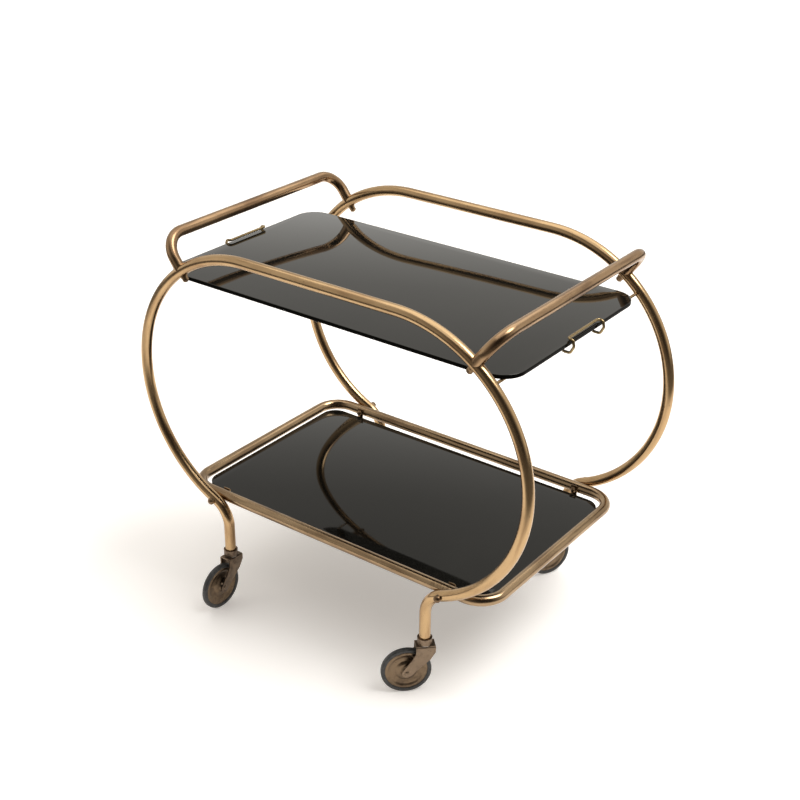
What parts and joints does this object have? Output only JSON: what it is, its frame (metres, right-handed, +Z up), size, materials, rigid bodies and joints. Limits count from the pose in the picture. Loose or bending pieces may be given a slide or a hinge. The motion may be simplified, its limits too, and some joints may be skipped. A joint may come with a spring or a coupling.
{
  "type": "serving trolley",
  "caption": "Two-shelf serving trolley: bent brass-tube side frames with end handles, black glass tray and lower shelf, and swivel casters under each leg.",
  "frame": {"origin": "On the floor, midway between the four legs.", "axes": "+X along the trolley towards the right handle, +Y to the rear, +Z up."},
  "size_m": [0.799, 0.5346, 0.6748],
  "materials": {
    "brass_tube": "aged, lightly polished",
    "brass_fastener": "tarnished",
    "black_glass": "polished",
    "clip_wire": "tarnished",
    "caster_metal": "brown patina",
    "bearing_steel": "worn",
    "tyre_rubber": "matte"
  },
  "bodies": {
    "frame": {"side_frame_front": "brass_tube", "side_frame_rear": "brass_tube", "lower_ring": "brass_tube", "handle_left": "brass_tube", "handle_right": "brass_tube", "handle_plugs": "bearing_steel", "handle_saddle_washers": "brass_fastener", "handle_bolts": "brass_fastener", "ring_saddle_washers": "brass_fastener", "ring_bolts": "brass_fastener", "ring_cap_nuts": "brass_fastener", "glass_rests": "brass_fastener", "tray_pegs": "brass_tube", "lower_glass": "black_glass", "caster_sockets": "caster_metal", "king_pins": "bearing_steel", "thrust_washers": "bearing_steel"},
    "tray": {"upper_glass": "black_glass", "tray_clip_left": "clip_wire", "tray_clip_right": "clip_wire"},
    "fork_front_left": {"fork_front_left": "caster_metal", "axle_front_left": "caster_metal", "side_washers_front_left": "bearing_steel"},
    "wheel_front_left": {"hub_bush_front_left": "bearing_steel", "wheel_disc_front_left": "caster_metal", "tyre_front_left": "tyre_rubber"},
    "fork_front_right": {"fork_front_right": "caster_metal", "axle_front_right": "caster_metal", "side_washers_front_right": "bearing_steel"},
    "wheel_front_right": {"hub_bush_front_right": "bearing_steel", "wheel_disc_front_right": "caster_metal", "tyre_front_right": "tyre_rubber"},
    "fork_rear_left": {"fork_rear_left": "caster_metal", "axle_rear_left": "caster_metal", "side_washers_rear_left": "bearing_steel"},
    "wheel_rear_left": {"hub_bush_rear_left": "bearing_steel", "wheel_disc_rear_left": "caster_metal", "tyre_rear_left": "tyre_rubber"},
    "fork_rear_right": {"fork_rear_right": "caster_metal", "axle_rear_right": "caster_metal", "side_washers_rear_right": "bearing_steel"},
    "wheel_rear_right": {"hub_bush_rear_right": "bearing_steel", "wheel_disc_rear_right": "caster_metal", "tyre_rear_right": "tyre_rubber"}
  },
  "joints": [
    {"name": "tray_lift", "type": "slide", "parent": "frame", "child": "tray", "axis": [0, 0, 1], "range_m": [0, 0.04]},
    {"name": "swivel_front_left", "type": "hinge", "parent": "frame", "child": "fork_front_left", "pos_m": [-0.2127, -0.221, 0.09], "axis": [0, 0, 1], "continuous": true},
    {"name": "roll_front_left", "type": "hinge", "parent": "fork_front_left", "child": "wheel_front_left", "pos_m": [-0.21349, -0.25099, 0.042], "axis": [0.9997, -0.0262, 0], "continuous": true},
    {"name": "swivel_front_right", "type": "hinge", "parent": "frame", "child": "fork_front_right", "pos_m": [0.2127, -0.221, 0.09], "axis": [0, 0, 1], "continuous": true},
    {"name": "roll_front_right", "type": "hinge", "parent": "fork_front_right", "child": "wheel_front_right", "pos_m": [0.19149, -0.24221, 0.042], "axis": [0.7071, -0.7071, 0], "continuous": true},
    {"name": "swivel_rear_left", "type": "hinge", "parent": "frame", "child": "fork_rear_left", "pos_m": [-0.2127, 0.221, 0.09], "axis": [0, 0, 1], "continuous": true},
    {"name": "roll_rear_left", "type": "hinge", "parent": "fork_rear_left", "child": "wheel_rear_left", "pos_m": [-0.22047, 0.19202, 0.042], "axis": [0.9659, -0.2588, 0], "continuous": true},
    {"name": "swivel_rear_right", "type": "hinge", "parent": "frame", "child": "fork_rear_right", "pos_m": [0.2127, 0.221, 0.09], "axis": [0, 0, 1], "continuous": true},
    {"name": "roll_rear_right", "type": "hinge", "parent": "fork_rear_right", "child": "wheel_rear_right", "pos_m": [0.19908, 0.19427, 0.042], "axis": [0.891, -0.454, 0], "continuous": true}
  ]
}
